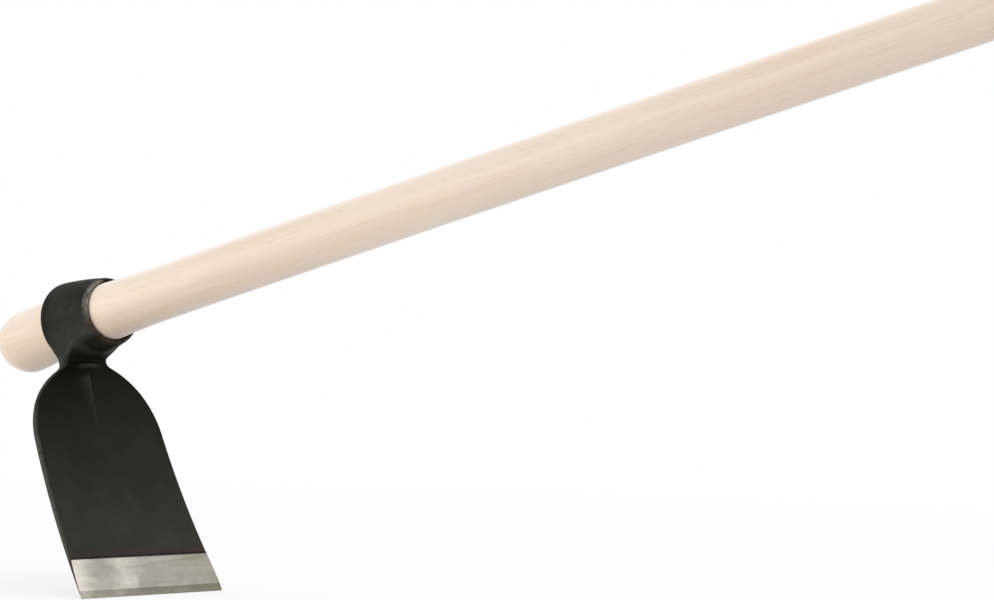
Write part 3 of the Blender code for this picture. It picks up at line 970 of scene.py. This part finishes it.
def dress(shader, color, shine, roughness, reliefs):
    """Join the colour, a roughness that follows a noise, and bumps of (source, strength, distance)."""
    join_color(color, shader.inputs["Base Color"])
    join(remap(shine, 0.3, 0.7, *roughness), shader.inputs["Roughness"])
    below = None
    for source, strength, distance in reliefs:
        bump = add_node(source.id_data, "Bump", Strength=strength, Distance=distance)
        join(source, bump.inputs["Height"])
        if below:
            join(below, bump.inputs["Normal"])
        below = bump
    join(below, shader.inputs["Normal"])


print("finishes can be joined to their shaders")

# %% [markdown]
# ## Black lacquer
#
# A forged hoe is dipped or sprayed with a thin black lacquer over the scale that the fire left. It is
# almost black, with a faint olive cast and hardly any shine. The vertex layer sets the colour between two
# tones: the dark one is painted shade together with pooled lacquer, the light one is thin lacquer that
# the steel lightens, and it is also painted on the rib and the lip as painted highlights. Clouds of noise
# vary that, and on the eye they bring brown and blue tints, as fire scale has.

# %% Colour of the lacquer
# The dark tone is painted shade as well as pooled lacquer; the light tone is thin lacquer.
LACQUER_THICK_SHADED = (0.0047, 0.0053, 0.0027)
LACQUER_THIN_UNSHADED = (0.0335, 0.0341, 0.0276)
LACQUER_BROWN = (0.0300, 0.0240, 0.0205)
LACQUER_BLUE = (0.0170, 0.0200, 0.0225)
EYE_FROM, EYE_FULL = -0.012, -0.026
TINT_STRENGTH = 0.6

lacquer, tree, shader, place = new_finish("black_lacquer", Specular_IOR_Level=0.05)
down = add_node(tree, "Attribute", {"attribute_name": "down_blade"})
# This layer holds painted shade and painted highlights as well as the lacquer's thickness.
depth = add_node(tree, "Attribute", {"attribute_name": "pooled_and_shade"})
color = mix_colors(remap(depth, 0, 1, output="Fac"), LACQUER_THIN_UNSHADED, LACQUER_THICK_SHADED)

on_eye = remap(down, EYE_FROM, EYE_FULL, output="Fac")
hue = add_noise(place, scale=75.0, roughness=0.6)
for tint, low, high in ((LACQUER_BROWN, 0.54, 0.72), (LACQUER_BLUE, 0.46, 0.30)):
    tinted = times(remap(hue, low, high, 0, TINT_STRENGTH), on_eye)
    color = mix_colors(tinted, color, tint)

patches = add_noise(place, scale=28.0, detail=4.0, roughness=0.6)
color = shade(color, remap(patches, 0.3, 0.7, 0.75, 1.25))
print("colour of", len(tree.nodes), "nodes")

# %% [markdown]
# Above the ground edge the heat of grinding has burnt the lacquer to a brown strip, weaker on the back.
# Its border wavers with a noise. Close to the steel lies a ragged dark line, on the front only.

# %% The burnt strip
LACQUER_BURNT = (0.0393, 0.0275, 0.0230)
BURNT_LINE = (0.0120, 0.0080, 0.0060)
BURNT_FROM, BURNT_FULL, BURNT_BACK, WAVER = 0.0075, 0.0035, 0.25, 0.006
LINE_FROM, LINE_FULL = 0.0026, 0.0012

ragged = add_noise(place, scale=70.0, roughness=0.6)
wavering = calculate("ADD", times(ragged, WAVER), -WAVER / 2)
shifted = add_node(tree, "Math", {"operation": "ADD"})
join(down, shifted.inputs[0], "Fac")
join(wavering, shifted.inputs[1])
backward = add_node(tree, "Attribute", {"attribute_name": "v"})
burnt = times(remap(shifted, band_top - BURNT_FROM, band_top - BURNT_FULL),
              remap(backward, 0, 1, 1, BURNT_BACK, output="Fac"))
color = mix_colors(burnt, color, LACQUER_BURNT)

close_to_band = remap(down, band_top - LINE_FROM, band_top - LINE_FULL, output="Fac")
line_strength = times(close_to_band, remap(ragged, 0.40, 0.60, 0.45, 1.0))
in_front = remap(backward, 0.7, 1, 1, 0, output="Fac")
color = mix_colors(times(line_strength, in_front), color, BURNT_LINE)
print("burnt strip of about", round((BURNT_FROM + BURNT_FULL) * 500, 1), "mm")

# %% [markdown]
# Where the edges are handled and knocked, the lacquer is broken and grey steel shows, rusty under the
# eye. The same grey steel is partly a painted highlight at the near rim of the eye, and a painted
# highlight on the lip's crest. The wear number says how strongly it shows, and a fine noise breaks it up
# into specks.

# %% Worn places and painted highlights
# This grey steel is also the painted highlight at the near rim and on the lip.
WORN_STEEL_AND_HIGHLIGHT = (0.240, 0.224, 0.190)
RUSTY_STEEL = (0.062, 0.040, 0.026)
STEEL_SHOWS_FROM = 0.35
RUST_NONE, RUST_FULL = 0.004, -0.010

worn_and_highlight = add_node(tree, "Attribute", {"attribute_name": "wear_and_highlight"})
speckle = add_noise(place, scale=420.0, detail=4.0, roughness=0.7)
broken = times(remap(worn_and_highlight, STEEL_SHOWS_FROM, 1.0, output="Fac"), remap(speckle, 0.30, 0.58))
height = add_node(tree, "SeparateXYZ")
join(place, height.inputs[0], "Object")
lower = remap(height, EYE_PLACE.z + RUST_NONE, EYE_PLACE.z + RUST_FULL, output="Z")
rusty = times(lower, on_eye)
color = mix_colors(broken, color, mix_colors(rusty, WORN_STEEL_AND_HIGHLIGHT, RUSTY_STEEL))
print("steel shows where wear is above", STEEL_SHOWS_FROM)

# %% [markdown]
# The shine varies in blotches and stays weak. A fine grit lies on the shallow dents of the scale.

# %% Shine and relief of the lacquer
gloss = add_noise(place, scale=95.0, detail=4.0, roughness=0.6)
dents = add_noise(place, scale=55.0, roughness=0.55)
grit = add_noise(place, scale=620.0, detail=2.0)
dress(shader, color, gloss, (0.46, 0.60), ((dents, 0.35, 0.0006), (grit, 0.14, 0.0002)))
print("lacquer of", len(tree.nodes), "nodes")

# %% [markdown]
# ## Ground steel
#
# The edge is ground on a wheel or belt after lacquering, so it is bare. Bare steel is a metal: nearly
# all of its colour is reflection. The belt leaves fine scratches along the edge, so the noises are
# squeezed to long thin lines across the blade, and they drive colour, gloss and relief together.
# Faint tints of oil and first rust lie over it in noise, rosy and olive. The colour is also painted
# brighter and rosier at the left end of the edge and darker and olive at the right: a painted highlight
# that fades along the edge. The honed bevel is the same steel, darker and duller.

# %% Ground steel
# The rosy tone is brighter, for the painted highlight at the left end as well as stains; the olive tone is
# darker, for the right end's painted shade as well as blotches.
STEEL = (0.227, 0.216, 0.194)
STEEL_ROSY_HIGHLIGHT = (0.450, 0.416, 0.372)
STEEL_OLIVE_SHADED = (0.193, 0.188, 0.147)
GROUND_TINT, HONED_TINT = (1.0, 1.0, 1.0), (0.76, 0.76, 0.71)
SCRATCH_STRETCH = (60, 1, 1)
STAIN_SHARE, PAINTED_LIGHT_SHARE = 0.9, 5.0


def make_steel(name, tint, roughness):
    finish, tree, shader, place = new_finish(name, Metallic=1.0)
    scratches = add_noise(place, scale=2600.0, roughness=0.6, stretch=SCRATCH_STRETCH)
    broad = add_noise(place, scale=420.0, detail=2.0, stretch=SCRATCH_STRETCH)
    stain = add_noise(place, scale=36.0, detail=2.0)
    blotches = add_noise(place, scale=110.0, detail=4.0, roughness=0.65)
    sides = add_node(tree, "SeparateXYZ")
    join(place, sides.inputs[0], "Object")
    # The X term paints a highlight, brightest at the left end of the edge and fading to the right.
    stain_and_light = calculate("ADD", times(stain, STAIN_SHARE), times(sides, PAINTED_LIGHT_SHARE))
    color = mix_colors(remap(stain_and_light, 0.10, 0.40), STEEL_ROSY_HIGHLIGHT, STEEL)
    color = mix_colors(remap(stain_and_light, 0.55, 0.75), color, STEEL_OLIVE_SHADED)
    color = mix_colors(remap(blotches, 0.55, 0.72, 0, 0.45), color, STEEL_OLIVE_SHADED)
    streaks = times(remap(broad, 0.3, 0.7, 0.92, 1.04), remap(blotches, 0.3, 0.6, 0.88, 1.06))
    color = mix_colors(None, shade(color, streaks), tint)
    dress(shader, color, scratches, roughness, ((broad, 0.20, 0.0003), (scratches, 0.25, 0.0001)))
    return finish


ground_steel = make_steel("ground_steel", GROUND_TINT, (0.34, 0.50))
honed_steel = make_steel("honed_steel", HONED_TINT, (0.38, 0.52))
print("steel of", len(ground_steel.node_tree.nodes), "nodes")

# %% [markdown]
# ## Putting a piece in place
#
# A finished bmesh is moved into the stance by one transform of its vertices, so its object stays at the
# origin, unturned. Then it rides on its body of the frame, gets its finishes, and hides the plain node
# that it stands for. Edges sharper than the limit stay crisp, the rest is shaded smooth.

# %% Helper that finishes a piece
SHARP_ANGLE = math.radians(32)


def put_in_place(shape, name, finishes, body, node):
    bmesh.ops.transform(shape, matrix=STANCE, verts=shape.verts)
    mesh = bpy.data.meshes.new(name)
    shape.to_mesh(mesh)
    shape.free()
    mesh.shade_smooth()
    mesh.set_sharp_from_angle(angle=SHARP_ANGLE)
    for finish in finishes:
        mesh.materials.append(finish)
    piece = bpy.data.objects.new(name, mesh)
    bpy.context.collection.objects.link(piece)
    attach(piece, body)
    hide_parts(node)
    print(name, len(mesh.polygons), "faces")


# %% [markdown]
# The head has three finishes, numbered as its faces are: lacquer, ground steel and honed steel. It rides
# on the sliding body, so it moves along the handle with the joint.

# %% Put the head in place
put_in_place(head, "forged_head", (lacquer, ground_steel, honed_steel),
             "head", "hoe_head")

# %% [markdown]
# ## The handle
#
# The handle is turned and shaved from one length of beech. Its outline is a radius for each place along
# it: a rounded thick end, a conical seat in the eye, a short swelling before the eye, and a long slim
# taper to a rounded end.

# %% Radius of the handle
HANDLE_REACH, STUB_LENGTH = 0.99995, 0.06895
SHAFT_DIAMETER, HANDLE_END_DIAMETER = 0.0372, 0.0279
SWELL_LENGTH, STUB_TAPER = 0.060, 0.070
STUB_ROUNDING, STUB_FLAT_RADIUS = 0.0175, 0.0120
BUTT_ROUNDING, BUTT_FLAT_RADIUS = 0.008, 0.0090


def handle_radius(station):
    """Radius of the plain handle, at a station measured from the eye's near rim to the user."""
    if station < -COLLAR_LENGTH:
        far_diameter = HANDLE_EYE_DIAMETER + EYE_TAPER * COLLAR_LENGTH
        return (far_diameter + STUB_TAPER * (-COLLAR_LENGTH - station)) / 2
    if station < 0:
        return (HANDLE_EYE_DIAMETER - EYE_TAPER * station) / 2
    diameter = SHAFT_DIAMETER + (HANDLE_END_DIAMETER - SHAFT_DIAMETER) * station / HANDLE_REACH
    swell = max(1 - station / SWELL_LENGTH, 0) ** 2
    return (diameter + (HANDLE_EYE_DIAMETER - SHAFT_DIAMETER) * swell) / 2


print("handle", [round(handle_radius(s) * 2000, 1) for s in (-0.1, 0, 0.1, 1.0)], "mm across")

# %% [markdown]
# Both ends are blunt: a small flat, then a quarter of an ellipse that runs into the plain handle. The
# thick end has the larger rounding, because it is knocked on a block to seat the head.

# %% Outline of the handle
ROUNDING_STEPS = 14
SHAFT_STEP = 0.005


def rounded_end(end_station, inward, rounding, flat_radius):
    """(station, radius) of a rounded end, from its flat face to the plain handle."""
    full_radius = handle_radius(end_station + inward * rounding)
    points = []
    for step in range(ROUNDING_STEPS):
        angle = math.pi / 2 * step / ROUNDING_STEPS
        along = rounding * (1 - math.cos(angle))
        points.append((end_station + inward * along,
                       flat_radius + (full_radius - flat_radius) * math.sin(angle)))
    return points


stub_end = -COLLAR_LENGTH - STUB_LENGTH
first, last = stub_end + STUB_ROUNDING, HANDLE_REACH - BUTT_ROUNDING
steps = round((last - first) / SHAFT_STEP)
plain = [first + (last - first) * step / steps for step in range(steps + 1)]
handle_outline = rounded_end(stub_end, 1, STUB_ROUNDING, STUB_FLAT_RADIUS)
handle_outline += [(station, handle_radius(station)) for station in plain]
handle_outline += reversed(rounded_end(HANDLE_REACH, -1, BUTT_ROUNDING, BUTT_FLAT_RADIUS))
print("outline of", len(handle_outline), "points")

# %% [markdown]
# The outline starts and ends on the axis, so spinning it closes both ends. The vertices that meet on the
# axis are merged. A real handle is never quite straight, so it gets a bow, a parabola along the shaft,
# and its thick end sags a little behind the eye.

# %% Spin and bend the handle
HANDLE_SIDES = 96
HANDLE_BOW, STUB_SAG = 0.0018, 0.0024
MERGE_DISTANCE = 0.000002


def handle_rise(station):
    middle_of_eye = -COLLAR_LENGTH / 2
    share = (station - middle_of_eye) / (HANDLE_REACH - middle_of_eye)
    along_stub = max(-COLLAR_LENGTH - station, 0) / STUB_LENGTH
    return 4 * HANDLE_BOW * share * (1 - share) - STUB_SAG * along_stub ** 2


def handle_slope(station):
    change = handle_rise(station + SLOPE_STEP) - handle_rise(station - SLOPE_STEP)
    return change / (2 * SLOPE_STEP)


pole = bmesh.new()
stations = [(stub_end, 0), *handle_outline, (HANDLE_REACH, 0)]
line = [pole.verts.new((0, -station, radius)) for station, radius in stations]
joints = [pole.edges.new((line[index], line[index + 1])) for index in range(len(line) - 1)]
bmesh.ops.spin(pole, geom=line + joints, cent=(0, 0, 0), axis=(0, 1, 0), dvec=(0, 0, 0),
               angle=2 * math.pi, steps=HANDLE_SIDES, use_merge=True)
bmesh.ops.remove_doubles(pole, verts=pole.verts, dist=MERGE_DISTANCE)
bmesh.ops.recalc_face_normals(pole, faces=pole.faces)
for vertex in pole.verts:
    station, up = -vertex.co.y, vertex.co.z
    vertex.co.y += up * handle_slope(station)
    vertex.co.z = handle_rise(station) + up
print("handle of", len(pole.faces), "faces, open edges", sum(not e.is_manifold for e in pole.edges))

# %% [markdown]
# ## Beech
#
# Plain beech is pale, pinkish and fine. Its growth rings run along the pole as soft long lines, and it
# is flecked with short dark dashes, the rays. Each of those is a noise with its own stretch: very long
# and thin for the lines, short dashes for the flecks. The wood is sanded and dry, so a white sheen of
# fine fibres brightens it where it turns away from the viewer.

# %% Beech
BEECH_PALE = (0.708, 0.583, 0.478)
BEECH_WARM = (0.640, 0.502, 0.386)
BEECH_DARK = (0.520, 0.370, 0.260)
GRAIN_STRETCH, FLECK_STRETCH, TONE_STRETCH = (1, 50, 1), (1, 10, 1), (1, 8, 1)
LINES_STRENGTH, FLECKS_STRENGTH = 0.38, 0.30

beech, tree, shader, place = new_finish("beech", Specular_IOR_Level=0.50, Sheen_Weight=1.0,
                                        Sheen_Roughness=0.35)
tone = add_noise(place, scale=26.0, detail=2.0, stretch=TONE_STRETCH)
grain = add_noise(place, scale=340.0, detail=4.0, roughness=0.65, stretch=GRAIN_STRETCH)
fine = add_noise(place, scale=1500.0, detail=2.0, stretch=GRAIN_STRETCH)
flecks = add_noise(place, scale=900.0, detail=1.0, stretch=FLECK_STRETCH)
color = mix_colors(remap(tone, 0.34, 0.66), BEECH_PALE, BEECH_WARM)
lines = times(remap(grain, 0.48, 0.78), LINES_STRENGTH)
color = mix_colors(lines, color, BEECH_DARK)
dashes = times(remap(flecks, 0.64, 0.74), FLECKS_STRENGTH)
color = mix_colors(dashes, color, BEECH_DARK)
dress(shader, color, grain, (0.50, 0.62), ((grain, 0.12, 0.0003), (fine, 0.10, 0.0001)))
print("beech of", len(tree.nodes), "nodes")

# %% [markdown]
# The handle is the fixed body. Its place is given by the same stance as the head's, so the seat lies in
# the middle of the bore.

# %% Put the handle in place
put_in_place(pole, "beech_handle", (beech,), "handle", "handle")
